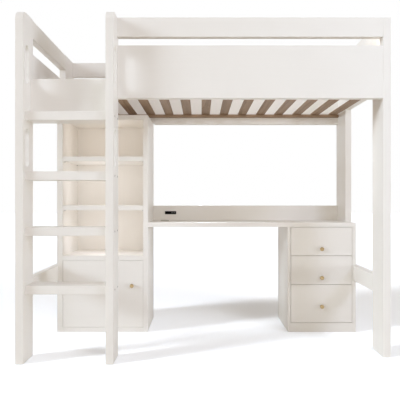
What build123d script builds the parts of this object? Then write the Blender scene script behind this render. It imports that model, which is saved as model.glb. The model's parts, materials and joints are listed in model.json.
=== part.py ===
from build123d import *
from collections import defaultdict
import os

# Loft bed with a ladder, a desk, a cabinet with open cubbies and a drawer pedestal.
# Millimetres. X runs along the bed, the front looks along -Y and Z is up.
# The origin is on the floor, under the middle of the whole piece.

# Mattress and bed frame
mattress_length = 1900
mattress_width = 900
mattress_end_gap = 8
mattress_side_gap = 2
total_height = 1850
board = 42
board_edge = 2.5
guard_rail_height = 106
guard_gap = 46
side_panel_height = 288
back_panel_drop = 7.5
back_rail_drop = 4.5
end_rail_height = 98.5
end_gap = 88
end_panel_height = 181
stretcher_height = 100
stretcher_bottom = 332
right_post_depth = 180
back_post_depth = 236
seam_width = 3
seam_offset = 9

# Ladder at the left of the front
ladder_reach = 124
ladder_clear_width = 428
ladder_nose_round = 50
post_corner_round = 5
tread_shifts = (0, 2, -10, 0)
tread_thickness = 46
tread_setback = 28
first_tread_top = 406
entry_panel_height = 192
entry_drop = 334
hand_slot_width = 60
hand_slot_length = 200
hand_slot_setback = 70
hand_slot_drop = 170
hand_slot_foot = 28
hand_slot_head = 42
hand_slot_edge = 4

# Slatted base
slat_width = 60
slat_thickness = 8
slat_pitch = 130.8
slat_offset = 3
slat_end_gap = 2
slat_edge = 2
ledger_height = 21.5
ledger_depth = 25
ledger_lift = 39

# Connector bolts, barrel nuts, dowels and screws
bolt_radius = 3
bolt_head_radius = 6
bolt_head_height = 6
bolt_head_recess = 0.4
bolt_socket_radius = 3
bolt_socket_depth = 3.5
bolt_tail = 9
bolt_hole_gap = 0.3
nut_radius = 5
nut_length = 16
nut_inset = 30
nut_thread_gap = 0.05
tread_bolt_margin = 23
rail_bolt_margin = 50
frame_dowel_radius = 5
frame_dowel_length = 60
frame_dowel_margin = 25
entry_dowel_margin = 40
panel_dowel_radius = 4
panel_dowel_length = 30
dowel_gap = 0.05
dowel_end_gap = 1
screw_radius = 2
screw_head_radius = 4
screw_head_height = 3
screw_grip = 15
screw_gap = 0.1

# Cabinet under the ladder end
unit_depth = 432
cabinet_width = 582
cabinet_housing = 6
cabinet_board = 30
cabinet_top_gap = 2
panel_edge = 1.2
back_thickness = 6
upper_cubby_less = 35
middle_cubby_more = 14
fixed_shelf_top = 495
shelf_side_gap = 1
shelf_setback = 2
shelf_pin_radius = 2.5
shelf_pin_length = 18
shelf_pin_inset = 40
shelf_pin_gap = 0.05
panel_dowel_inset = 60

# Cabinet door on concealed pivots
door_thickness = 20
door_edge = 2.5
door_hinge_gap = 2.2
door_gap = 1
door_end_gap = 1
pivot_inset = 10
pivot_setback = 8
pivot_radius = 3
pivot_depth = 24
bush_wall = 2
bush_length = 12
bush_flange = 1.5
bush_flange_thickness = 0.7
running_gap = 0.05
fit_gap = 0.02
door_knob_inset = 71
door_knob_height = 302
catch_size = (30, 14, 12)
catch_inset = 24
catch_gap = 0.3

# Desk
desk_height = 710
desk_thickness = 28
desk_end_round = 8
desk_housing = 15.5
housing_gap = 0.5
module_width = 81
module_height = 22
module_bezel = 2.5
module_wall = 3
module_depth = 30
module_offset = 126
module_lift = 55
module_corner = 3
pocket_gap = 0.2
port_width = 13
port_height = 6
port_depth = 9
port_first = 10
port_pitch = 17
port_drop = 2.5
port_count = 2
tongue_thickness = 1.6
tongue_side_gap = 1
tongue_setback = 1
grommet_offset = 92
grommet_setback = 271
grommet_radius = 29
grommet_bore = 22
grommet_wall = 2
grommet_collar = 7

# Drawer pedestal at the right
pedestal_width = 441.5
pedestal_board = 18
pedestal_end_board = 23.5
plinth_height = 63
upper_drawer_height = 186
upper_drawer_count = 2
front_thickness = 18
front_edge = 1.5
front_gap = 2.2
drawer_knob_drop = 142
drawer_side = 12
drawer_bottom = 6
drawer_bottom_lift = 8
drawer_side_gap = 1.5
drawer_back_gap = 28
drawer_lift = 14
drawer_drop = 36
runner_height = 14
runner_grip = 5.4
runner_rise = 60
runner_end_gap = 5
groove_depth = 6
groove_gap = 0.3
groove_stop = 25

# Round knobs
knob_radius = 13
knob_head = 14
knob_projection = 25
knob_foot_radius = 8
knob_foot = 2.5
knob_neck_radius = 5
knob_round = 5
knob_screw_bite = 12

# Lines that follow from the driving sizes
inner_length = mattress_length + 2 * mattress_end_gap
inner_width = mattress_width + 2 * mattress_side_gap
length = inner_length + 2 * board
depth = inner_width + 2 * board + ladder_reach
x_left, x_right = -length / 2, length / 2
x_in_left, x_in_right = x_left + board, x_right - board
x_ladder = x_in_left + ladder_clear_width
x_ladder_right = x_ladder + board
y_front, y_back = -depth / 2, depth / 2
y_panel = y_front + ladder_reach
y_well_front, y_well_back = y_panel + board, y_back - board
y_right_post = y_panel + right_post_depth
y_back_post = y_back - back_post_depth
y_unit = y_back - unit_depth
y_unit_back = y_back - back_thickness

z_rail = total_height - guard_rail_height
z_panel_top = z_rail - guard_gap
z_panel = z_panel_top - side_panel_height
z_back_rail_top = total_height - back_rail_drop
z_end_rail = z_back_rail_top - end_rail_height
z_end_top = z_end_rail - end_gap
z_end = z_end_top - end_panel_height
z_entry_top = total_height - entry_drop
z_entry = z_entry_top - entry_panel_height
tread_pitch = (z_entry - first_tread_top) / (len(tread_shifts) - 1)
tread_tops = [first_tread_top + i * tread_pitch + shift for i, shift in enumerate(tread_shifts)]
z_ledger = z_panel + ledger_lift
z_slat = z_ledger + ledger_height
slat_count = int((inner_length - slat_width - 2 * slat_offset) // slat_pitch) + 1
slat_places = [slat_offset + (i - (slat_count - 1) / 2) * slat_pitch for i in range(slat_count)]

x_cabinet = x_in_left + cabinet_width
x_cabinet_left = x_in_left - cabinet_housing
x_cabinet_in = (x_in_left + cabinet_board, x_cabinet - cabinet_board)
z_cabinet = z_panel - cabinet_top_gap
z_cabinet_in = z_cabinet - cabinet_board
even_cubby = (z_cabinet_in - fixed_shelf_top - 2 * cabinet_board) / 3
z_upper_shelf = z_cabinet_in - (even_cubby - upper_cubby_less) - cabinet_board
z_middle_shelf = z_upper_shelf - (even_cubby + middle_cubby_more) - cabinet_board
z_fixed_shelf = fixed_shelf_top - cabinet_board
x_pivot = x_cabinet_in[0] + door_hinge_gap + pivot_inset
y_pivot = y_unit + pivot_setback

z_desk = desk_height - desk_thickness
x_desk_end = x_in_right + desk_housing
x_pedestal = x_desk_end - pedestal_width
x_drawers = (x_pedestal + pedestal_board, x_desk_end - pedestal_end_board)
y_drawer_box = (y_unit + front_thickness, y_unit_back - drawer_back_gap)
z_plinth = plinth_height - front_gap
x_module = x_cabinet + module_offset
z_module = desk_height + module_lift
drawer_tops = [z_desk - i * upper_drawer_height for i in range(upper_drawer_count + 1)]
drawer_lows = drawer_tops[1:] + [plinth_height]
drawer_names = ["top_drawer", "middle_drawer", "bottom_drawer"]

turn = {"x": Rot(0, 90, 0), "y": Rot(90, 0, 0), "z": Rot(0, 0, 0)}
parts = {}
holes = defaultdict(list)
bolts, nuts, dowels, screws = [], [], [], []


def block(x, y, z, edge=board_edge):
    size = [high - low for low, high in (x, y, z)]
    middle = [(low + high) / 2 for low, high in (x, y, z)]
    solid = Pos(*middle) * Box(*size)
    return fillet(solid.edges(), min(edge, 0.45 * min(size))) if edge else solid


def rod(axis, ends, across, radius):
    centre = list(across)
    centre.insert("xyz".index(axis), (ends[0] + ends[1]) / 2)
    return Pos(*centre) * turn[axis] * Cylinder(radius, abs(ends[1] - ends[0]))


def bored(name, solid):
    return solid - holes[name] if holes[name] else solid


def add_board(name, x, y, z, edge=board_edge):
    parts[name] = bored(name, block(x, y, z, edge))


def group(solids):
    return Compound(children=[Solid(solid.solids()[0].wrapped) for solid in solids])


# Fasteners

def make_bolt():
    seat = bolt_head_recess + bolt_head_height
    head = rod("x", (bolt_head_recess, seat), (0, 0), bolt_head_radius)
    shank = rod("x", (seat, board + nut_inset + bolt_tail), (0, 0), bolt_radius)
    socket = extrude(RegularPolygon(bolt_socket_radius, 6), bolt_socket_depth)
    return head + shank - Pos(bolt_head_recess, 0, 0) * turn["x"] * socket


def make_nut():
    body = rod("z", (-nut_length / 2, nut_length / 2), (0, 0), nut_radius)
    return body - rod("x", (-2 * nut_radius, 2 * nut_radius), (0, 0), bolt_radius + nut_thread_gap)


def make_screw(through):
    head = Pos(0, 0, -screw_head_height / 2) * Cone(screw_radius, screw_head_radius, screw_head_height)
    return head + rod("z", (-through - screw_grip, -screw_head_height), (0, 0), screw_radius)


bolt, nut = make_bolt(), make_nut()


def bolt_joint(post, rail, face, way, y, z, nut_axis, mouth):
    # A socket bolt goes through a post into the end of a rail, and a barrel nut in the rail draws it up.
    seat = face + way * (bolt_head_recess + bolt_head_height)
    tip = face + way * (board + nut_inset + bolt_tail)
    bolts.append(Pos(face, y, z) * Rot(0, 0, 0 if way > 0 else 180) * bolt)
    holes[post].append(rod("x", (face - way, seat), (y, z), bolt_head_radius + bolt_hole_gap))
    for name in (post, rail):
        holes[name].append(rod("x", (seat - way, tip + way), (y, z), bolt_radius + bolt_hole_gap))
    x = face + way * (board + nut_inset)
    nuts.append(Pos(x, y, z) * turn[nut_axis] * nut)
    middle, across = (z, (x, y)) if nut_axis == "z" else (y, (x, z))
    inward = 1 if mouth < middle else -1
    bore = (mouth - inward, middle + inward * nut_length / 2)
    holes[rail].append(rod(nut_axis, bore, across, nut_radius + dowel_gap))


def dowel_joint(axis, joint, across, names, radius=panel_dowel_radius, size=panel_dowel_length):
    dowels.append(rod(axis, (joint - size / 2, joint + size / 2), across, radius))
    reach = size / 2 + dowel_end_gap
    for name in names:
        holes[name].append(rod(axis, (joint - reach, joint + reach), across, radius + dowel_gap))


def screw_joint(place, aim, through, names):
    screw = make_screw(through)
    screws.append(Pos(*place) * aim * screw)
    sleeve = rod("z", (-through - screw_grip - 1, 1), (0, 0), screw_radius + screw_gap)
    sink = Pos(0, 0, screw_gap - screw_head_height / 2)
    mouth = sink * Cone(
        screw_radius + screw_gap, screw_head_radius + screw_gap, screw_head_height + screw_gap)
    for name in names:
        holes[name] += [Pos(*place) * aim * sleeve, Pos(*place) * aim * mouth]


def tread_bolts():
    depths = (y_front + tread_setback + tread_bolt_margin, y_well_front - tread_bolt_margin)
    for i, top in enumerate(tread_tops):
        name = f"ladder_tread_{i + 1}"
        for y in depths:
            place = (y, top - tread_thickness / 2, "z", top - tread_thickness)
            bolt_joint("left_front_post", name, x_left, 1, *place)
            bolt_joint("ladder_inner_post", name, x_ladder_right, -1, *place)


def rail_bolts():
    y_mid_front, y_mid_back = (y_panel + y_well_front) / 2, (y_back + y_well_back) / 2
    z_mid_rail = (z_rail + total_height) / 2
    panel_heights = (z_panel + rail_bolt_margin, z_panel_top - rail_bolt_margin)
    front_left = (z_entry_top + rail_bolt_margin, z_panel_top - rail_bolt_margin)
    for rail, heights in (("guard_rail", (z_mid_rail,)), ("side_panel", panel_heights)):
        for z in heights:
            bolt_joint("right_front_post", "front_" + rail, x_right, -1, y_mid_front, z, "y", y_well_front)
            bolt_joint("left_back_post", "back_" + rail, x_left, 1, y_mid_back, z, "y", y_back)
            bolt_joint("right_back_post", "back_" + rail, x_right, -1, y_mid_back, z, "y", y_back)
    for rail, heights in (("guard_rail", (z_mid_rail,)), ("side_panel", front_left)):
        for z in heights:
            bolt_joint("ladder_inner_post", "front_" + rail, x_ladder, 1, y_mid_front, z, "y", y_well_front)
    z_desk_rail = desk_height + guard_rail_height / 2
    bolt_joint("right_back_post", "desk_back_rail", x_right, -1, y_mid_back, z_desk_rail, "y", y_back)


def end_boards():
    # Each end has a guard rail, a panel and a stretcher between its front and back posts.
    levels = {"guard_rail": (z_end_rail, z_back_rail_top), "panel": (z_end, z_end_top),
              "stretcher": (stretcher_bottom, stretcher_bottom + stretcher_height)}
    sides = {"left": ((x_left, x_in_left), y_well_front), "right": ((x_in_right, x_right), y_right_post)}
    return [(side, kind, x, (y, y_back_post), z)
            for side, (x, y) in sides.items() for kind, z in levels.items()]


def frame_dowels():
    for side, kind, x, y, z in end_boards():
        for joint, post in zip(y, ("front", "back")):
            for height in (z[0] + frame_dowel_margin, z[1] - frame_dowel_margin):
                names = (f"{side}_end_{kind}", f"{side}_{post}_post")
                dowel_joint("y", joint, (sum(x) / 2, height), names, frame_dowel_radius, frame_dowel_length)
    y_middle = (y_panel + y_well_front) / 2
    for height in (z_entry + entry_dowel_margin, z_entry_top - entry_dowel_margin):
        for joint, post in ((x_in_left, "left_front_post"), (x_ladder, "ladder_inner_post")):
            dowel_joint("x", joint, (y_middle, height), ("entry_panel", post),
                        frame_dowel_radius, frame_dowel_length)


def cabinet_dowels():
    depths = (y_unit + panel_dowel_inset, y_back - panel_dowel_inset)
    levels = {"cabinet_top": z_cabinet - cabinet_board / 2, "cabinet_bottom": cabinet_board / 2,
              "cabinet_fixed_shelf": z_fixed_shelf + cabinet_board / 2}
    for name, z in levels.items():
        for x, side in zip(x_cabinet_in, ("cabinet_left_side", "cabinet_right_side")):
            for y in depths:
                dowel_joint("x", x, (y, z), (name, side))
    for y in depths:
        dowel_joint("x", x_cabinet, (y, desk_height - desk_thickness / 2), ("cabinet_right_side", "desk_top"))
    z_rail_end = desk_height + guard_rail_height / 2
    rail_place = ((y_well_back + y_back) / 2, z_rail_end)
    dowel_joint("x", x_cabinet, rail_place, ("cabinet_right_side", "desk_back_rail"))


def pedestal_dowels():
    sides = ("pedestal_left_side", "pedestal_right_side")
    depths = (y_unit + panel_dowel_inset, y_back_post - panel_dowel_inset / 2)
    z_bottom = z_plinth - pedestal_board / 2
    for x, side in zip(x_drawers, sides):
        for y in depths:
            dowel_joint("x", x, (y, z_bottom), ("pedestal_bottom", side))
        dowel_joint("x", x, (y_unit + pedestal_board / 2, plinth_height / 3), ("pedestal_plinth", side))
    for x, side in zip((x_pedestal + pedestal_board / 2, x_desk_end - pedestal_end_board / 2), sides):
        for y in depths:
            dowel_joint("z", z_desk, (x, y), (side, "desk_top"))


def slat_screws():
    top = z_slat + slat_thickness
    ledgers = {1: (y_well_front + ledger_depth / 2, y_well_front + ledger_depth, -90),
               -1: (y_well_back - ledger_depth / 2, y_well_back - ledger_depth, 90)}
    walls = {1: ("entry_panel", "ladder_inner_post", "front_side_panel"), -1: ("back_side_panel",)}
    for way, (y_middle, y_face, aim) in ledgers.items():
        for x in slat_places:
            screw_joint((x, y_middle, top), Rot(0, 0, 0), slat_thickness, ("bed_slats", "slat_ledgers"))
        for x in slat_places[:-1:2]:
            place = (x + slat_pitch / 2, y_face, z_ledger + ledger_height / 2)
            screw_joint(place, Rot(aim, 0, 0), ledger_depth, ("slat_ledgers",) + walls[way])


# Bed frame

def hand_slots(x):
    # The upper slot hangs from the top of the post, and the lower one lies between the top two treads.
    top = total_height - hand_slot_drop
    between = (tread_tops[-2] + hand_slot_foot, tread_tops[-1] - tread_thickness - hand_slot_head)
    for low, high in ((top - hand_slot_length, top), between):
        outline = SlotOverall(high - low, hand_slot_width, rotation=90)
        place = Pos(y_front + hand_slot_setback, (low + high) / 2)
        yield extrude(Plane.YZ.offset(x) * place * outline, board)


def ladder_post(name, x):
    size = y_well_front - y_front
    outline = Pos(y_front + size / 2, total_height / 2) * Rectangle(size, total_height)
    corners = sorted(outline.vertices(), key=lambda v: v.Y - v.X)
    outline = fillet(corners[:-1], post_corner_round)
    nose = max(outline.vertices(), key=lambda v: v.Y - v.X)
    outline = fillet([nose], ladder_nose_round)
    solid = extrude(Plane.YZ.offset(x) * outline, board)
    rims = [edge for face in solid.faces().filter_by(Axis.X) for edge in face.outer_wire().edges()]
    solid = fillet(rims, board_edge) - list(hand_slots(x))
    rims = [edge for face in solid.faces().filter_by(Axis.X)
            for wire in face.inner_wires() for edge in wire.edges()]
    parts[name] = bored(name, fillet(rims, hand_slot_edge))


def bed_posts():
    full = (0, total_height)
    ladder_post("left_front_post", x_left)
    ladder_post("ladder_inner_post", x_ladder)
    add_board("right_front_post", (x_in_right, x_right), (y_panel, y_right_post), full)
    add_board("left_back_post", (x_left, x_in_left), (y_back_post, y_back), full)
    add_board("right_back_post", (x_in_right, x_right), (y_back_post, y_back), full)


def bed_boards():
    for side, kind, x, y, z in end_boards():
        add_board(f"{side}_end_{kind}", x, y, z)
    front, back = (y_panel, y_well_front), (y_well_back, y_back)
    rail, panel = (z_rail, total_height), (z_panel, z_panel_top)
    add_board("front_guard_rail", (x_ladder_right, x_in_right), front, rail)
    add_board("front_side_panel", (x_ladder_right, x_in_right), front, panel)
    add_board("entry_panel", (x_in_left, x_ladder), front, (z_entry, z_entry_top))
    add_board("back_guard_rail", (x_in_left, x_in_right), back, (z_rail, z_back_rail_top))
    # The back panel hangs lower than the front one, up to a seam beside the cabinet under it.
    low, x_seam = z_panel - back_panel_drop, x_cabinet + seam_offset
    groove = Box(seam_width, seam_width, 2 * side_panel_height)
    holes["back_side_panel"] += [
        Pos(x_seam, y_well_back, z_panel_top) * Rot(0, 0, 45) * groove,
        block((x_left, x_seam), (y_well_back - 1, y_back + 1), (low - 1, z_panel), 0)]
    add_board("back_side_panel", (x_in_left, x_in_right), back, (low, z_panel_top))


def slatted_base():
    level = (z_ledger, z_slat)
    across = ((y_well_front, y_well_front + ledger_depth), (y_well_back - ledger_depth, y_well_back))
    ledgers = [bored("slat_ledgers", block((x_in_left, x_in_right), y, level, slat_edge)) for y in across]
    parts["slat_ledgers"] = group(ledgers)
    y = (y_well_front + slat_end_gap, y_well_back - slat_end_gap)
    slat = block((-slat_width / 2, slat_width / 2), y, (z_slat, z_slat + slat_thickness), slat_edge)
    near = [[hole for hole in holes["bed_slats"] if abs(hole.center().X - x) < slat_width]
            for x in slat_places]
    parts["bed_slats"] = group([Pos(x, 0, 0) * slat - cuts for x, cuts in zip(slat_places, near)])


def ladder_treads():
    y = (y_front + tread_setback, y_well_front)
    for i, top in enumerate(tread_tops):
        add_board(f"ladder_tread_{i + 1}", (x_in_left, x_ladder), y, (top - tread_thickness, top))


# Cabinet

def shelf_pins():
    pins = []
    depths = (y_unit + shelf_pin_inset, y_back - shelf_pin_inset)
    for shelf in (z_upper_shelf, z_middle_shelf):
        for x, side in zip(x_cabinet_in, ("cabinet_left_side", "cabinet_right_side")):
            ends = (x - shelf_pin_length / 2, x + shelf_pin_length / 2)
            for y in depths:
                across = (y, shelf - shelf_pin_radius - shelf_pin_gap)
                pins.append(rod("x", ends, across, shelf_pin_radius))
                holes[side].append(rod("x", ends, across, shelf_pin_radius + shelf_pin_gap))
    parts["shelf_pins"] = group(pins)


def house_side(name, x, top):
    # A side that reaches into the plane of an end frame is cut back around the stretcher and the back post.
    stretcher = (stretcher_bottom - housing_gap, stretcher_bottom + stretcher_height + housing_gap)
    holes[name] += [block(x, (y_unit - 1, y_back), stretcher, 0),
                    block(x, (y_back_post - housing_gap, y_back + 1), (-1, top + 1), 0)]


def cabinet_case():
    y, level = (y_unit, y_back), (0, z_cabinet)
    x, inner = x_cabinet_in, (y_unit, y_unit_back)
    house_side("cabinet_left_side", (x_cabinet_left - 1, x_in_left), z_cabinet)
    add_board("cabinet_left_side", (x_cabinet_left, x[0]), y, level, panel_edge)
    add_board("cabinet_right_side", (x[1], x_cabinet), y, level, panel_edge)
    add_board("cabinet_top", x, inner, (z_cabinet_in, z_cabinet), panel_edge)
    add_board("cabinet_fixed_shelf", x, inner, (z_fixed_shelf, fixed_shelf_top), panel_edge)
    add_board("cabinet_bottom", x, inner, (0, cabinet_board), panel_edge)
    add_board("cabinet_back", x, (y_unit_back, y_back), level, 0)
    shelf_x = (x[0] + shelf_side_gap, x[1] - shelf_side_gap)
    shelf_y = (y_unit + shelf_setback, y_unit_back)
    for name, z in (("cabinet_upper_shelf", z_upper_shelf), ("cabinet_middle_shelf", z_middle_shelf)):
        add_board(name, shelf_x, shelf_y, (z, z + cabinet_board), panel_edge)


def door_pivots():
    # A pin in the top and the bottom edge of the door turns in a flanged bush in the cabinet.
    across, pins, bushes = (x_pivot, y_pivot), [], []
    outer = pivot_radius + running_gap + bush_wall
    seats = (("cabinet_bottom", cabinet_board, 1), ("cabinet_fixed_shelf", z_fixed_shelf, -1))
    for name, face, way in seats:
        door_end = face + way * door_end_gap
        pin = (face - way * bush_length, door_end + way * pivot_depth)
        pins.append(rod("z", pin, across, pivot_radius))
        holes["cabinet_door"].append(rod("z", (face, pin[1]), across, pivot_radius + fit_gap))
        body = rod("z", (face - way * bush_length, face), across, outer)
        flange = rod("z", (face, face + way * bush_flange_thickness), across, outer + bush_flange)
        bore_length = (face - way * bush_length, face + way * bush_length)
        bore = rod("z", bore_length, across, pivot_radius + running_gap)
        bushes.append(body + flange - bore)
        holes[name].append(rod("z", (face - way * bush_length, face + way), across, outer + fit_gap))
    parts["door_hinge_pins"] = group(pins)
    parts["hinge_bushes"] = group(bushes)


def make_knob(x, z, wall, name):
    # A turned knob on the front face, held by a screw from behind the panel.
    face, back = y_unit, y_unit + wall
    head = Pos(0, 0, knob_projection - knob_head / 2) * Cylinder(knob_radius, knob_head)
    head = fillet(head.edges().filter_by(GeomType.CIRCLE), knob_round)
    foot = rod("z", (0, knob_foot), (0, 0), knob_foot_radius)
    neck = rod("z", (0, knob_projection - knob_head / 2), (0, 0), knob_neck_radius)
    bite = rod("z", (-1, knob_screw_bite + 1), (0, 0), screw_radius + screw_gap)
    knob = Pos(x, face, z) * turn["y"] * (head + foot + neck - bite)
    head = rod("y", (back, back + screw_head_height), (x, z), screw_head_radius)
    screw = head + rod("y", (face - knob_screw_bite, back), (x, z), screw_radius)
    holes[name].append(rod("y", (face - 1, back + 1), (x, z), screw_radius + screw_gap))
    return group([knob, screw])


def cabinet_door():
    x = (x_cabinet_in[0] + door_hinge_gap, x_cabinet_in[1] - door_gap)
    z = (cabinet_board + door_end_gap, z_fixed_shelf - door_end_gap)
    y = (y_unit, y_unit + door_thickness)
    parts["door_knob"] = make_knob(x[1] - door_knob_inset, door_knob_height, door_thickness, "cabinet_door")
    add_board("cabinet_door", x, y, z, door_edge)
    catch_x = x_cabinet_in[1] - catch_inset
    catch_y = y[1] + catch_gap
    parts["door_catch"] = block((catch_x - catch_size[0], catch_x), (catch_y, catch_y + catch_size[1]),
                                (z_fixed_shelf - catch_size[2], z_fixed_shelf), panel_edge)


# Desk

def desk():
    x, y = (x_cabinet, x_desk_end), (y_unit, y_back)
    solid = block(x, y, (z_desk, desk_height), 0)
    end = solid.edges().filter_by(Axis.Y).sort_by(Axis.X)[-2:].sort_by(Axis.Z)[-1]
    solid = fillet(end, desk_end_round)
    post = Pos(x_right, (y_back_post + y_back) / 2, z_desk)
    room = Box(2 * board, back_post_depth + 2 * housing_gap, total_height)
    hole = rod("z", (z_desk - 1, desk_height + 1), grommet_place(), grommet_radius - grommet_wall + dowel_gap)
    parts["desk_top"] = bored("desk_top", solid - post * room - hole)
    module_pocket()
    add_board("desk_back_rail", (x_cabinet, x_in_right), (y_well_back, y_back),
              (desk_height, desk_height + guard_rail_height))


def grommet_place():
    return (x_cabinet + grommet_offset, y_unit + grommet_setback)


def cable_grommet():
    # A lining tube in the desk with a raised collar on top.
    place = grommet_place()
    body = rod("z", (z_desk, desk_height), place, grommet_radius - grommet_wall)
    collar = rod("z", (desk_height, desk_height + grommet_collar), place, grommet_radius)
    collar = fillet(collar.edges().filter_by(GeomType.CIRCLE).sort_by(Axis.Z)[-1], grommet_wall)
    bore = rod("z", (z_desk - 1, desk_height + grommet_collar + 1), place, grommet_bore)
    parts["cable_grommet"] = body + collar - bore


def module_box(grow, y):
    half = module_width / 2 - module_wall + grow, module_height / 2 - module_wall + grow
    x, z = (x_module - half[0], x_module + half[0]), (z_module - half[1], z_module + half[1])
    return block(x, y, z, 0)


def module_pocket():
    pocket = (y_well_back - 1, y_well_back + module_depth + pocket_gap)
    holes["desk_back_rail"].append(module_box(pocket_gap, pocket))


def module_ports(grow):
    z = z_module - port_drop
    half = port_width / 2 + grow, port_height / 2 + grow
    for i in range(port_count):
        x = x_module + port_first + i * port_pitch
        y = (y_well_back - module_bezel - grow, y_well_back - module_bezel + port_depth)
        yield block((x - half[0], x + half[0]), y, (z - half[1], z + half[1]), 0)


def power_module():
    # A desk charger sunk in the back rail, with two charging ports in its face.
    plate = extrude(RectangleRounded(module_width, module_height, module_corner), module_bezel)
    plate = Pos(x_module, y_well_back, z_module) * turn["y"] * plate
    body = module_box(0, (y_well_back, y_well_back + module_depth))
    parts["power_module"] = plate + body - list(module_ports(pocket_gap))
    parts["usb_ports"] = group([port_tongue(i) for i in range(port_count)])


def port_tongue(i):
    # The contact tongue lies along the top of its port, and the plug goes in below it.
    x, half = x_module + port_first + i * port_pitch, port_width / 2 - tongue_side_gap
    z = z_module - port_drop + port_height / 2
    y = (y_well_back - module_bezel + tongue_setback, y_well_back - module_bezel + port_depth)
    return block((x - half, x + half), y, (z - tongue_thickness, z), 0)


# Drawer pedestal

def pedestal_case():
    y, level = (y_unit, y_back), (0, z_desk)
    add_board("pedestal_left_side", (x_pedestal, x_drawers[0]), y, level, panel_edge)
    house_side("pedestal_right_side", (x_in_right, x_desk_end + 1), z_desk)
    add_board("pedestal_right_side", (x_drawers[1], x_desk_end), y, level, panel_edge)
    front = (y_unit, y_unit + pedestal_board)
    z_bottom = z_plinth - pedestal_board
    add_board("pedestal_plinth", x_drawers, front, (0, z_plinth), panel_edge)
    add_board("pedestal_bottom", x_drawers, (front[1], y_unit_back), (z_bottom, z_plinth), panel_edge)
    add_board("pedestal_back", x_drawers, (y_unit_back, y_back), (z_bottom, z_desk), 0)


def runner_level(low):
    middle = low + drawer_lift + runner_rise
    return middle - runner_height / 2, middle + runner_height / 2


def drawer_runners():
    reach = drawer_side_gap + runner_grip
    y = (y_drawer_box[0] + groove_stop + runner_end_gap, y_unit_back)
    lines = ((x_drawers[0], x_drawers[0] + reach), (x_drawers[1] - reach, x_drawers[1]))
    parts["drawer_runners"] = group([block(x, y, runner_level(low), 0) for low in drawer_lows for x in lines])


def drawer_box(low, top):
    x = (x_drawers[0] + drawer_side_gap, x_drawers[1] - drawer_side_gap)
    y, z = y_drawer_box, (low + drawer_lift, top - drawer_drop)
    inside = (x[0] + drawer_side, x[1] - drawer_side)
    runner = runner_level(low)
    slot_y, slot_z = (y[0] + groove_stop, y[1] + 1), (runner[0] - groove_gap, runner[1] + groove_gap)
    left = block((x[0], inside[0]), y, z, panel_edge)
    left -= block((x[0] - 1, x[0] + groove_depth), slot_y, slot_z, 0)
    right = block((inside[1], x[1]), y, z, panel_edge)
    right -= block((x[1] - groove_depth, x[1] + 1), slot_y, slot_z, 0)
    back = block(inside, (y[1] - drawer_side, y[1]), z, panel_edge)
    floor_z = (z[0] + drawer_bottom_lift, z[0] + drawer_bottom_lift + drawer_bottom)
    floor = block(inside, (y[0], y[1] - drawer_side), floor_z, 0)
    return group([left, right, back, floor])


def drawers():
    x = (x_drawers[0] + front_gap, x_drawers[1] - front_gap)
    y = (y_unit, y_drawer_box[0])
    for name, low, top in zip(drawer_names, drawer_lows, drawer_tops):
        parts[name + "_knob"] = make_knob(
            sum(x) / 2, top - drawer_knob_drop, front_thickness, name + "_front")
        add_board(name + "_front", x, y, (low, top - front_gap), front_edge)
        parts[name + "_box"] = drawer_box(low, top)


def build():
    for fixing in (tread_bolts, rail_bolts, frame_dowels, cabinet_dowels, pedestal_dowels, slat_screws):
        fixing()
    for piece in (door_pivots, shelf_pins, bed_posts, bed_boards, slatted_base, ladder_treads, cabinet_case,
                  cabinet_door, desk, cable_grommet, power_module, pedestal_case, drawer_runners, drawers):
        piece()
    fasteners = {"frame_bolts": bolts, "barrel_nuts": nuts, "dowels": dowels, "wood_screws": screws}
    parts.update({name: group(solids) for name, solids in fasteners.items()})
    os.makedirs("parts", exist_ok=True)
    for name, shape in parts.items():
        export_step(shape, f"parts/{name}.step")


build()
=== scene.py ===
import bpy
import json
import math
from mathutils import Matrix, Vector


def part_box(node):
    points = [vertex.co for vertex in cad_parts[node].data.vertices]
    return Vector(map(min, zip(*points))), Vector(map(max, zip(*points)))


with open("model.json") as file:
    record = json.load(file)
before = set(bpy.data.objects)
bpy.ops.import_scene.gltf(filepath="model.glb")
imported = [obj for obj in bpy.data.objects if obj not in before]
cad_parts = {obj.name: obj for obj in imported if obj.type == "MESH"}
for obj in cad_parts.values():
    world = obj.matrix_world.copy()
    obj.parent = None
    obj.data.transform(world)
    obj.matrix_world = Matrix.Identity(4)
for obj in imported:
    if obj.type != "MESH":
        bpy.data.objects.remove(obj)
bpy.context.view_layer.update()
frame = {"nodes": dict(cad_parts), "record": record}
scene = bpy.context.scene
scene.view_settings.view_transform = "Standard"
nodes = frame["nodes"]


# small helpers for shader trees
def addNode(tree, kind, place=(0, 0), **values):
    node = tree.nodes.new(kind)
    node.location = place
    for name, value in values.items():
        setattr(node, name, value)
    return node


def setInputs(node, values):
    for name, value in values.items():
        node.inputs[name].default_value = value


def newGroup(name, inputs, outputs):
    group = bpy.data.node_groups.new(name, "ShaderNodeTree")
    for label, kind, value in inputs:
        socket = group.interface.new_socket(name=label, in_out="INPUT", socket_type=kind)
        socket.default_value = value
    for label, kind in outputs:
        group.interface.new_socket(name=label, in_out="OUTPUT", socket_type=kind)
    source = addNode(group, "NodeGroupInput", (-900, 0))
    sink = addNode(group, "NodeGroupOutput", (900, 0))
    return group, source, sink


def useGroup(tree, group, place, **values):
    node = addNode(tree, "ShaderNodeGroup", place)
    node.node_tree = group
    setInputs(node, values)
    return node


def mathNode(tree, operation, place, first, second):
    node = addNode(tree, "ShaderNodeMath", place, operation=operation)
    for socket, value in zip(node.inputs, (first, second)):
        if isinstance(value, (int, float)):
            socket.default_value = value
        else:
            tree.links.new(value, socket)
    return node.outputs[0]


def weighedSum(tree, place, first, second, shares):
    left, level = place[0] - 200, place[1]
    return mathNode(tree, "ADD", place, mathNode(tree, "MULTIPLY", (left, level + 80), first, shares[0]),
                    mathNode(tree, "MULTIPLY", (left, level - 80), second, shares[1]))


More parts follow.
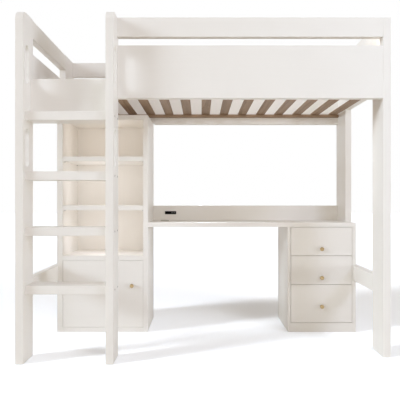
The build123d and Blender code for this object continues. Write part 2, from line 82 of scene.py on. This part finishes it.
def noiseNode(tree, vector, place, scale, detail, roughness):
    node = addNode(tree, "ShaderNodeTexNoise", place)
    tree.links.new(vector, node.inputs["Vector"])
    setInputs(node, {"Scale": scale, "Detail": detail, "Roughness": roughness})
    return node.outputs["Fac"]


def rangeNode(tree, value, place, low, high, toLow=0.0, toHigh=1.0):
    node = addNode(tree, "ShaderNodeMapRange", place, clamp=True)
    tree.links.new(value, node.inputs["Value"])
    setInputs(node, {"From Min": low, "From Max": high, "To Min": toLow, "To Max": toHigh})
    return node.outputs["Result"]


def mixColours(tree, place, factor, first, second):
    node = addNode(tree, "ShaderNodeMix", place, data_type="RGBA")
    tree.links.new(factor, node.inputs["Factor"])
    for label, value in (("A", first), ("B", second)):
        socket = [s for s in node.inputs if s.name == label and s.type == "RGBA"][0]
        if isinstance(value, tuple):
            socket.default_value = (*value, 1.0)
        else:
            tree.links.new(value, socket)
    return [s for s in node.outputs if s.type == "RGBA"][0]


# shared effects; each noise is given as scale, detail and roughness
wearMarks = {"radius": 0.003, "samples": 6, "bend": (0.99, 0.80), "patches": (38.0, 4.0, 0.6),
             "patchRange": (0.35, 0.70)}


def edgeWearGroup():
    # 1 on edges, broken up in patches
    group, source, sink = newGroup("edgeWear", [("Radius", "NodeSocketFloat", wearMarks["radius"])],
                                   [("Mask", "NodeSocketFloat")])
    bevel = addNode(group, "ShaderNodeBevel", (-600, 0), samples=wearMarks["samples"])
    group.links.new(source.outputs["Radius"], bevel.inputs["Radius"])
    geometry = addNode(group, "ShaderNodeNewGeometry", (-600, -200))
    turn = addNode(group, "ShaderNodeVectorMath", (-400, 0), operation="DOT_PRODUCT")
    group.links.new(bevel.outputs["Normal"], turn.inputs[0])
    group.links.new(geometry.outputs["Normal"], turn.inputs[1])
    bend = rangeNode(group, turn.outputs["Value"], (-200, 0), *wearMarks["bend"])
    coords = addNode(group, "ShaderNodeTexCoord", (-600, -400))
    patchy = noiseNode(group, coords.outputs["Object"], (-400, -400), *wearMarks["patches"])
    broken = rangeNode(group, patchy, (-200, -300), *wearMarks["patchRange"])
    group.links.new(mathNode(group, "MULTIPLY", (100, 0), bend, broken), sink.inputs["Mask"])
    return group


filmMarks = {
    "strokes": (90.0, 4.0, 0.6),
    "peel": (520.0, 2.0, 0.5),
    "slow": (2.6, 3.0, 0.5),
    "smudge": (11.0, 5.0, 0.65),
    "toneShares": (0.35, 0.65),  # strokes, slow changes
    "heightShares": (0.55, 0.45),  # strokes, peel
}


def paintFilmGroup():
    # rolled and brushed paint: long faint strokes, a fine orange peel and slow changes of tone
    group, source, sink = newGroup("paintFilm", [("Stretch", "NodeSocketVector", (1.0, 1.0, 1.0))],
                                   [("Tone", "NodeSocketFloat"), ("Gloss", "NodeSocketFloat"),
                                    ("Height", "NodeSocketFloat")])
    coords = addNode(group, "ShaderNodeTexCoord", (-900, 300))
    place = coords.outputs["Object"]
    along = addNode(group, "ShaderNodeVectorMath", (-650, 200), operation="MULTIPLY")
    group.links.new(place, along.inputs[0])
    group.links.new(source.outputs["Stretch"], along.inputs[1])
    strokes = noiseNode(group, along.outputs["Vector"], (-400, 300), *filmMarks["strokes"])
    peel = noiseNode(group, place, (-400, 50), *filmMarks["peel"])
    slow = noiseNode(group, place, (-400, -200), *filmMarks["slow"])
    smudge = noiseNode(group, place, (-400, -450), *filmMarks["smudge"])
    tone = weighedSum(group, (0, -100), strokes, slow, filmMarks["toneShares"])
    height = weighedSum(group, (0, 250), strokes, peel, filmMarks["heightShares"])
    group.links.new(tone, sink.inputs["Tone"])
    group.links.new(smudge, sink.inputs["Gloss"])
    group.links.new(height, sink.inputs["Height"])
    return group


grainMarks = {
    "sway": {"Scale": 4.0, "Detail": 2.0},
    "swayBy": (0.05, 0.05, 0.05),
    "rings": {"Distortion": 3.0, "Detail": 2.0, "Detail Scale": 1.5},
    "ringScale": 34.0,
    "lateWood": 2.2,  # above 1 narrows the dark part of each ring
    "fibres": (420.0, 3.0, 0.6),
    "pores": (900.0, 2.0, 0.5),
    "shadeShares": (0.60, 0.40),  # late wood, fibres
    "heightShares": (0.5, 0.5),  # fibres, pores
}


def woodGrainGroup():
    # growth rings cut along the board, with fine fibres and pores
    group, source, sink = newGroup("woodGrain",
                                   [("Stretch", "NodeSocketVector", (1.0, 1.0, 1.0)),
                                    ("Rings", "NodeSocketFloat", grainMarks["ringScale"]),
                                    ("Early", "NodeSocketColor", (0.6, 0.45, 0.3, 1.0)),
                                    ("Late", "NodeSocketColor", (0.35, 0.22, 0.12, 1.0))],
                                   [("Color", "NodeSocketColor"), ("Gloss", "NodeSocketFloat"),
                                    ("Height", "NodeSocketFloat")])
    coords = addNode(group, "ShaderNodeTexCoord", (-1100, 200))
    along = addNode(group, "ShaderNodeVectorMath", (-900, 200), operation="MULTIPLY")
    group.links.new(coords.outputs["Object"], along.inputs[0])
    group.links.new(source.outputs["Stretch"], along.inputs[1])
    place = along.outputs["Vector"]
    sway = addNode(group, "ShaderNodeTexNoise", (-700, 350))
    group.links.new(place, sway.inputs["Vector"])
    setInputs(sway, grainMarks["sway"])
    bent = addNode(group, "ShaderNodeVectorMath", (-500, 250), operation="MULTIPLY_ADD")
    group.links.new(sway.outputs["Color"], bent.inputs[0])
    bent.inputs[1].default_value = grainMarks["swayBy"]
    group.links.new(place, bent.inputs[2])
    rings = addNode(group, "ShaderNodeTexWave", (-300, 250), wave_type="RINGS", rings_direction="SPHERICAL",
                    wave_profile="SAW")
    group.links.new(bent.outputs["Vector"], rings.inputs["Vector"])
    group.links.new(source.outputs["Rings"], rings.inputs["Scale"])
    setInputs(rings, grainMarks["rings"])
    fibres = noiseNode(group, place, (-300, -50), *grainMarks["fibres"])
    pores = noiseNode(group, place, (-300, -250), *grainMarks["pores"])
    late = mathNode(group, "POWER", (-50, 250), rings.outputs["Fac"], grainMarks["lateWood"])
    shade = weighedSum(group, (150, 150), late, fibres, grainMarks["shadeShares"])
    colour = mixColours(group, (400, 150), shade, source.outputs["Early"], source.outputs["Late"])
    height = weighedSum(group, (400, -150), fibres, pores, grainMarks["heightShares"])
    group.links.new(colour, sink.inputs["Color"])
    group.links.new(fibres, sink.inputs["Gloss"])
    group.links.new(height, sink.inputs["Height"])
    return group


toolMarks = {"scale": 900.0, "fingers": (120.0, 4.0, 0.6)}


def metalMarksGroup():
    # turned or drawn metal: fine tool marks and finger marks
    group, source, sink = newGroup("metalMarks", [("Scale", "NodeSocketFloat", toolMarks["scale"])],
                                   [("Tone", "NodeSocketFloat"), ("Gloss", "NodeSocketFloat"),
                                    ("Height", "NodeSocketFloat")])
    coords = addNode(group, "ShaderNodeTexCoord", (-700, 0))
    marks = addNode(group, "ShaderNodeTexNoise", (-400, 200))
    group.links.new(coords.outputs["Object"], marks.inputs["Vector"])
    group.links.new(source.outputs["Scale"], marks.inputs["Scale"])
    fingers = noiseNode(group, coords.outputs["Object"], (-400, -100), *toolMarks["fingers"])
    tone = mathNode(group, "MULTIPLY", (-100, 0), marks.outputs["Fac"], fingers)
    group.links.new(tone, sink.inputs["Tone"])
    group.links.new(fingers, sink.inputs["Gloss"])
    group.links.new(marks.outputs["Fac"], sink.inputs["Height"])
    return group


mouldMarks = {"scale": 1600.0, "cloud": (60.0, 4.0, 0.6)}


def mouldedGroup():
    # spark-eroded texture of moulded plastic
    group, source, sink = newGroup("moulded", [("Scale", "NodeSocketFloat", mouldMarks["scale"])],
                                   [("Tone", "NodeSocketFloat"), ("Height", "NodeSocketFloat")])
    coords = addNode(group, "ShaderNodeTexCoord", (-700, 0))
    pits = addNode(group, "ShaderNodeTexVoronoi", (-400, 150))
    group.links.new(coords.outputs["Object"], pits.inputs["Vector"])
    group.links.new(source.outputs["Scale"], pits.inputs["Scale"])
    cloud = noiseNode(group, coords.outputs["Object"], (-400, -150), *mouldMarks["cloud"])
    group.links.new(cloud, sink.inputs["Tone"])
    group.links.new(pits.outputs["Distance"], sink.inputs["Height"])
    return group


edgeWear, paintFilm, woodGrain = edgeWearGroup(), paintFilmGroup(), woodGrainGroup()
metalMarks, moulded = metalMarksGroup(), mouldedGroup()
print("shader groups built")


# materials
noiseRange = (0.3, 0.7)  # where most of a noise lies
markRange = (0.1, 0.5)  # the same for two noises multiplied


def newMaterial(name):
    material = bpy.data.materials.new(name)
    material.use_nodes = True
    tree = material.node_tree
    shader = tree.nodes["Principled BSDF"]
    shader.location = (600, 0)
    tree.nodes["Material Output"].location = (900, 0)
    return material, tree, shader


def addBump(tree, shader, height, look):
    bump = addNode(tree, "ShaderNodeBump", (350, -350))
    setInputs(bump, {"Strength": look["bump"], "Distance": look["depth"]})
    tree.links.new(height, bump.inputs["Height"])
    tree.links.new(bump.outputs["Normal"], shader.inputs["Normal"])


def addRoughness(tree, shader, gloss, look):
    rough = rangeNode(tree, gloss, (100, -100), *noiseRange, *look["roughness"])
    tree.links.new(rough, shader.inputs["Roughness"])


def addTwoTones(tree, shader, tone, look):
    colour = mixColours(tree, (250, 150), tone, look["dark"], look["bright"])
    tree.links.new(colour, shader.inputs["Base Color"])


def axisStretch(axis, squeeze):
    return tuple(squeeze if letter == axis else 1.0 for letter in "XYZ")


whitePaint = {
    "light": (0.885, 0.860, 0.820),
    "deep": (0.865, 0.838, 0.795),
    "worn": (0.735, 0.690, 0.620),
    "roughness": (0.36, 0.50),
    "strokeSqueeze": 0.05,
    "bump": 0.10,
    "depth": 0.0006,
    "wearRadius": 0.0035,
    "wearAmount": 0.30,
}
backBoard = dict(whitePaint, light=(0.875, 0.848, 0.806), deep=(0.855, 0.826, 0.782), wearAmount=0.15)


def paintedBoard(name, axis, look):
    material, tree, shader = newMaterial(name + axis)
    film = useGroup(tree, paintFilm, (-300, 100), Stretch=axisStretch(axis, look["strokeSqueeze"]))
    wear = useGroup(tree, edgeWear, (-300, -300), Radius=look["wearRadius"])
    tone = rangeNode(tree, film.outputs["Tone"], (-100, 150), *noiseRange)
    colour = mixColours(tree, (100, 150), tone, look["deep"], look["light"])
    worn = mathNode(tree, "MULTIPLY", (-100, -300), wear.outputs["Mask"], look["wearAmount"])
    tree.links.new(mixColours(tree, (300, 150), worn, colour, look["worn"]), shader.inputs["Base Color"])
    addRoughness(tree, shader, film.outputs["Gloss"], look)
    addBump(tree, shader, film.outputs["Height"], look)
    return material


woodDepth = 0.0005
pine = {"early": (0.37, 0.25, 0.16), "late": (0.20, 0.125, 0.072), "squeeze": 0.045, "rings": 26.0,
        "wear": 0.25, "roughness": (0.55, 0.72), "bump": 0.22, "depth": woodDepth}
birch = {"early": (0.66, 0.53, 0.385), "late": (0.52, 0.39, 0.26), "squeeze": 0.05, "rings": 18.0,
         "wear": 0.15, "roughness": (0.38, 0.55), "bump": 0.12, "depth": woodDepth}
beech = {"early": (0.58, 0.41, 0.27), "late": (0.44, 0.29, 0.18), "squeeze": 0.06, "rings": 30.0,
         "wear": 0.15, "roughness": (0.45, 0.60), "bump": 0.15, "depth": woodDepth}


def bareWood(name, axis, look):
    material, tree, shader = newMaterial(name + axis)
    grain = useGroup(tree, woodGrain, (-200, 100), Stretch=axisStretch(axis, look["squeeze"]),
                     Rings=look["rings"], Early=(*look["early"], 1.0), Late=(*look["late"], 1.0))
    wear = useGroup(tree, edgeWear, (-200, -300), Radius=wearMarks["radius"])
    worn = mathNode(tree, "MULTIPLY", (0, -300), wear.outputs["Mask"], look["wear"])
    colour = mixColours(tree, (300, 150), worn, grain.outputs["Color"], look["early"])
    tree.links.new(colour, shader.inputs["Base Color"])
    addRoughness(tree, shader, grain.outputs["Gloss"], look)
    addBump(tree, shader, grain.outputs["Height"], look)
    return material


metalDepth = 0.0002
satinBrass = {"bright": (0.52, 0.385, 0.205), "dark": (0.40, 0.29, 0.15), "scale": 1400.0,
              "roughness": (0.30, 0.45), "bump": 0.05, "depth": metalDepth}
blackZinc = {"bright": (0.09, 0.088, 0.085), "dark": (0.035, 0.034, 0.033), "scale": 1800.0,
             "roughness": (0.35, 0.55), "bump": 0.08, "depth": metalDepth}
brightZinc = {"bright": (0.72, 0.72, 0.71), "dark": (0.52, 0.52, 0.53), "scale": 1500.0,
              "roughness": (0.28, 0.45), "bump": 0.08, "depth": metalDepth}
yellowZinc = {"bright": (0.40, 0.29, 0.17), "dark": (0.28, 0.19, 0.11), "scale": 1500.0,
              "roughness": (0.45, 0.62), "bump": 0.08, "depth": metalDepth}


def metalFinish(name, look):
    material, tree, shader = newMaterial(name)
    marks = useGroup(tree, metalMarks, (-200, 100), Scale=look["scale"])
    addTwoTones(tree, shader, rangeNode(tree, marks.outputs["Tone"], (0, 100), *markRange), look)
    addRoughness(tree, shader, marks.outputs["Gloss"], look)
    shader.inputs["Metallic"].default_value = 1.0
    addBump(tree, shader, marks.outputs["Height"], look)
    return material


plasticDepth = 0.0003
blackPlastic = {"bright": (0.006, 0.006, 0.006), "dark": (0.003, 0.003, 0.003), "scale": 2400.0,
                "roughness": (0.50, 0.62), "bump": 0.15, "depth": plasticDepth, "shine": 0.06}
greyPlastic = {"bright": (0.58, 0.57, 0.53), "dark": (0.52, 0.51, 0.475), "scale": 2000.0,
               "roughness": (0.42, 0.58), "bump": 0.15, "depth": plasticDepth, "shine": 0.5}
portPlastic = {"bright": (0.55, 0.55, 0.54), "dark": (0.46, 0.46, 0.46), "scale": 2600.0,
               "roughness": (0.40, 0.55), "bump": 0.10, "depth": plasticDepth, "shine": 0.5}
whiteNylon = {"bright": (0.78, 0.77, 0.74), "dark": (0.70, 0.69, 0.66), "scale": 1800.0,
              "roughness": (0.40, 0.55), "bump": 0.10, "depth": plasticDepth, "shine": 0.5}


def mouldedPlastic(name, look):
    material, tree, shader = newMaterial(name)
    skin = useGroup(tree, moulded, (-200, 100), Scale=look["scale"])
    addTwoTones(tree, shader, rangeNode(tree, skin.outputs["Tone"], (0, 100), *noiseRange), look)
    addRoughness(tree, shader, skin.outputs["Tone"], look)
    shader.inputs["Specular IOR Level"].default_value = look["shine"]
    addBump(tree, shader, skin.outputs["Height"], look)
    return material


# boards have one material for each way that strokes or grain can run
alongBoard = {
    "white_paint": {axis: paintedBoard("whitePaint", axis, whitePaint) for axis in "XYZ"},
    "back_board": {axis: paintedBoard("backBoard", axis, backBoard) for axis in "XYZ"},
    "slat_wood": {axis: bareWood("pine", axis, pine) for axis in "XYZ"},
    "drawer_wood": {axis: bareWood("birch", axis, birch) for axis in "XYZ"},
    "beech": {axis: bareWood("beech", axis, beech) for axis in "XYZ"},
}
finishes = {
    "dark_steel": metalFinish("blackZinc", blackZinc),
    "zinc_steel": metalFinish("brightZinc", brightZinc),
    "yellow_zinc": metalFinish("yellowZinc", yellowZinc),
    "brass": metalFinish("satinBrass", satinBrass),
    "white_nylon": mouldedPlastic("whiteNylon", whiteNylon),
    "black_plastic": mouldedPlastic("blackPlastic", blackPlastic),
    "port_plastic": mouldedPlastic("portPlastic", portPlastic),
    "grey_plastic": mouldedPlastic("greyPlastic", greyPlastic),
}
# nodes of several pieces, whose box doesn't show how they run
grainOf = {"bed_slats": "Y", "slat_ledgers": "X", "drawer_runners": "Y", "dowels": "X"}


def longAxis(node):
    low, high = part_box(node)
    size = [high[i] - low[i] for i in range(3)]
    return "XYZ"[size.index(max(size))]


def dress():
    slots = {entry["node"]: entry["material_slot"] for entry in frame["record"]["subparts"]}
    for name, piece in nodes.items():
        slot = slots[name]
        material = finishes.get(slot) or alongBoard[slot][grainOf.get(name) or longAxis(name)]
        piece.data.materials.clear()
        piece.data.materials.append(material)


dress()
print("materials on", len(nodes), "nodes")


# camera, level, looking straight at the front
camera = {"place": (-0.0376, -3.312, 0.860), "focalPixels": 530.0, "imagePixels": 400.0, "horizon": 199.5,
          "sensor": 36.0, "farthest": 100.0}


def addCamera():
    data = bpy.data.cameras.new("photoCamera")
    data.sensor_width = camera["sensor"]
    data.lens = camera["focalPixels"] / camera["imagePixels"] * camera["sensor"]
    data.shift_y = (camera["horizon"] - camera["imagePixels"] / 2) / camera["imagePixels"]
    data.clip_end = camera["farthest"]
    eye = bpy.data.objects.new("photoCamera", data)
    eye.location = camera["place"]
    eye.rotation_euler = (math.pi / 2, 0, 0)
    scene.collection.objects.link(eye)
    scene.camera = eye


# floor and air: one colour where they are seen, another where they only light the object
white = (1.0, 1.0, 1.0)
floorLook = {"size": 60.0, "seen": (0.84, 0.88, 0.95), "bounce": (0.50, 0.47, 0.425), "lift": 0.18,
             "roughness": 0.9, "shine": 0.1}
airLook = {"front": 0.475, "back": 0.33, "blend": 0.25, "colour": (1.0, 0.848, 0.68), "bounces": 8}


def seenDirectly(tree, place):
    # 1 where the camera, a mirror or a pane looks at the surface
    path = addNode(tree, "ShaderNodeLightPath", place)
    both = mathNode(tree, "MAXIMUM", (place[0] + 200, place[1]), path.outputs["Is Camera Ray"],
                    path.outputs["Is Glossy Ray"])
    return mathNode(tree, "MAXIMUM", (place[0] + 400, place[1]), both, path.outputs["Is Transmission Ray"])


def addFloor():
    mesh = bpy.data.meshes.new("studioFloor")
    half = floorLook["size"] / 2
    corners = [(-half, -half, 0), (half, -half, 0), (half, half, 0), (-half, half, 0)]
    mesh.from_pydata(corners, [], [(0, 1, 2, 3)])
    floor = bpy.data.objects.new("studioFloor", mesh)
    scene.collection.objects.link(floor)
    material, tree, shader = newMaterial("studioFloor")
    setInputs(shader, {"Roughness": floorLook["roughness"], "Specular IOR Level": floorLook["shine"],
                       "Emission Color": (*white, 1.0)})
    seen = seenDirectly(tree, (-400, -300))
    colour = mixColours(tree, (300, 100), seen, floorLook["bounce"], floorLook["seen"])
    lift = mathNode(tree, "MULTIPLY", (300, -300), seen, floorLook["lift"])
    tree.links.new(colour, shader.inputs["Base Color"])
    tree.links.new(lift, shader.inputs["Emission Strength"])
    mesh.materials.append(material)
    return floor


def addWorld():
    # soft light from all round, more of it from the front, and plain white where it is seen
    world = bpy.data.worlds.new("studioAir")
    scene.world = world
    world.use_nodes = True
    tree = world.node_tree
    background = tree.nodes["Background"]
    seen = seenDirectly(tree, (-1000, -300))
    way = addNode(tree, "ShaderNodeTexCoord", (-900, 300))
    split = addNode(tree, "ShaderNodeSeparateXYZ", (-700, 300))
    tree.links.new(way.outputs["Generated"], split.inputs[0])
    soft = rangeNode(tree, split.outputs["Y"], (-500, 300), airLook["blend"], -airLook["blend"],
                     airLook["back"], airLook["front"])
    colour = mixColours(tree, (-200, -150), seen, airLook["colour"], white)
    strength = mathNode(tree, "MAXIMUM", (-200, 100), seen, soft)
    tree.links.new(colour, background.inputs["Color"])
    tree.links.new(strength, background.inputs["Strength"])
    scene.cycles.diffuse_bounces = airLook["bounces"]


# distant lamps, each with the way its light goes; some light one piece alone or skip a few
suns = {
    "key": {"toward": (2.1, 1.0, -0.83), "angle": 20.0, "strength": 1.60, "colour": (0.865, 1.0, 1.145)},
    "side": {"toward": (-1.74, 1.0, -0.05), "angle": 10.0, "strength": 0.72, "colour": (0.94, 1.0, 1.09),
             "skips": ("cabinet_left_side",)},
    "front": {"toward": (-0.8, 1.0, -1.0), "angle": 10.0, "strength": 0.33, "colour": (0.92, 1.0, 1.33),
              "skips": ("studioFloor", "left_end_guard_rail")},  # high at the right
    "back": {"toward": (0.0, -1.0, -0.3), "angle": 2.0, "strength": 0.5, "colour": (0.92, 1.0, 1.10),
             "skips": ("studioFloor",)},
    "cabinetEdge": {"toward": (0.0, 1.0, -0.05), "angle": 10.0, "strength": 0.46,
                    "colour": (0.94, 1.0, 1.09), "only": ("cabinet_left_side",)},
    "floorKey": {"toward": (2.1, 1.0, -0.9), "angle": 10.0, "strength": 2.8, "colour": white,
                 "only": ("studioFloor",)},
    "floorFill": {"toward": (-0.64, 1.0, -0.67), "angle": 30.0, "strength": 1.7, "colour": white,
                  "only": ("studioFloor",)},
}
# a soft box high at the right, and soft cards at the desk, over the slats and at the mouths of the cubbies
boxes = {
    "rightBox": {"middle": (2.2, -2.1, 1.9), "aim": (0.0, 0.0, 0.8), "size": (0.8, 0.8), "power": 8.4,
                 "colour": (0.80, 1.0, 1.30)},
    "deskCard": {"middle": (0.29, -0.37, 1.08), "aim": (0.29, 0.0, 1.08), "size": (1.2, 0.5), "power": 0.5,
                 "colour": (1.10, 1.0, 0.85)},
    "wellCard": {"middle": (0.45, -0.38, 1.74), "aim": (0.45, 0.5, 1.5), "size": (1.0, 0.1), "power": 1.25,
                 "colour": (1.0, 0.98, 0.95)},
    "upperCubbyCard": {"middle": (-0.70, 0.132, 1.258), "aim": (-0.70, 0.5, 1.258), "size": (0.20, 0.10),
                       "power": 0.29, "colour": (1.05, 1.0, 0.985)},
    "middleCubbyCard": {"middle": (-0.70, 0.132, 0.964), "aim": (-0.70, 0.5, 0.964), "size": (0.20, 0.10),
                        "power": 0.39, "colour": (1.0, 1.0, 1.05)},
    "lowerCubbyCard": {"middle": (-0.70, 0.132, 0.642), "aim": (-0.70, 0.5, 0.642), "size": (0.20, 0.10),
                       "power": 0.39, "colour": (1.0, 1.0, 1.05)},
}


def placeLamp(data, way):
    lamp = bpy.data.objects.new(data.name, data)
    lamp.rotation_euler = Vector(way).to_track_quat("-Z", "Y").to_euler()
    scene.collection.objects.link(lamp)
    return lamp


def linkLamp(lamp, names, state, floor):
    # the lamp lights these pieces alone, or all but these
    chosen = bpy.data.collections.new(lamp.name + "Pieces")
    for name in names:
        chosen.objects.link(floor if name == floor.name else nodes[name])
    for entry in chosen.collection_objects:
        entry.light_linking.link_state = state
    lamp.light_linking.receiver_collection = chosen


def addSuns(floor):
    for name, look in suns.items():
        sun = bpy.data.lights.new(name + "Light", "SUN")
        sun.energy, sun.color = look["strength"], look["colour"]
        sun.angle = math.radians(look["angle"])
        lamp = placeLamp(sun, look["toward"])
        if "only" in look:
            linkLamp(lamp, look["only"], "INCLUDE", floor)
        if "skips" in look:
            linkLamp(lamp, look["skips"], "EXCLUDE", floor)


def addBoxes():
    for name, look in boxes.items():
        soft = bpy.data.lights.new(name, "AREA")
        soft.shape = "RECTANGLE"
        soft.size, soft.size_y = look["size"]
        soft.energy, soft.color = look["power"], look["colour"]
        lamp = placeLamp(soft, Vector(look["aim"]) - Vector(look["middle"]))
        lamp.location = look["middle"]
        lamp.visible_camera = lamp.visible_glossy = False


addCamera()
studioFloor = addFloor()
addWorld()
addSuns(studioFloor)
addBoxes()
print("camera, floor and", len(suns) + len(boxes), "lamps set")
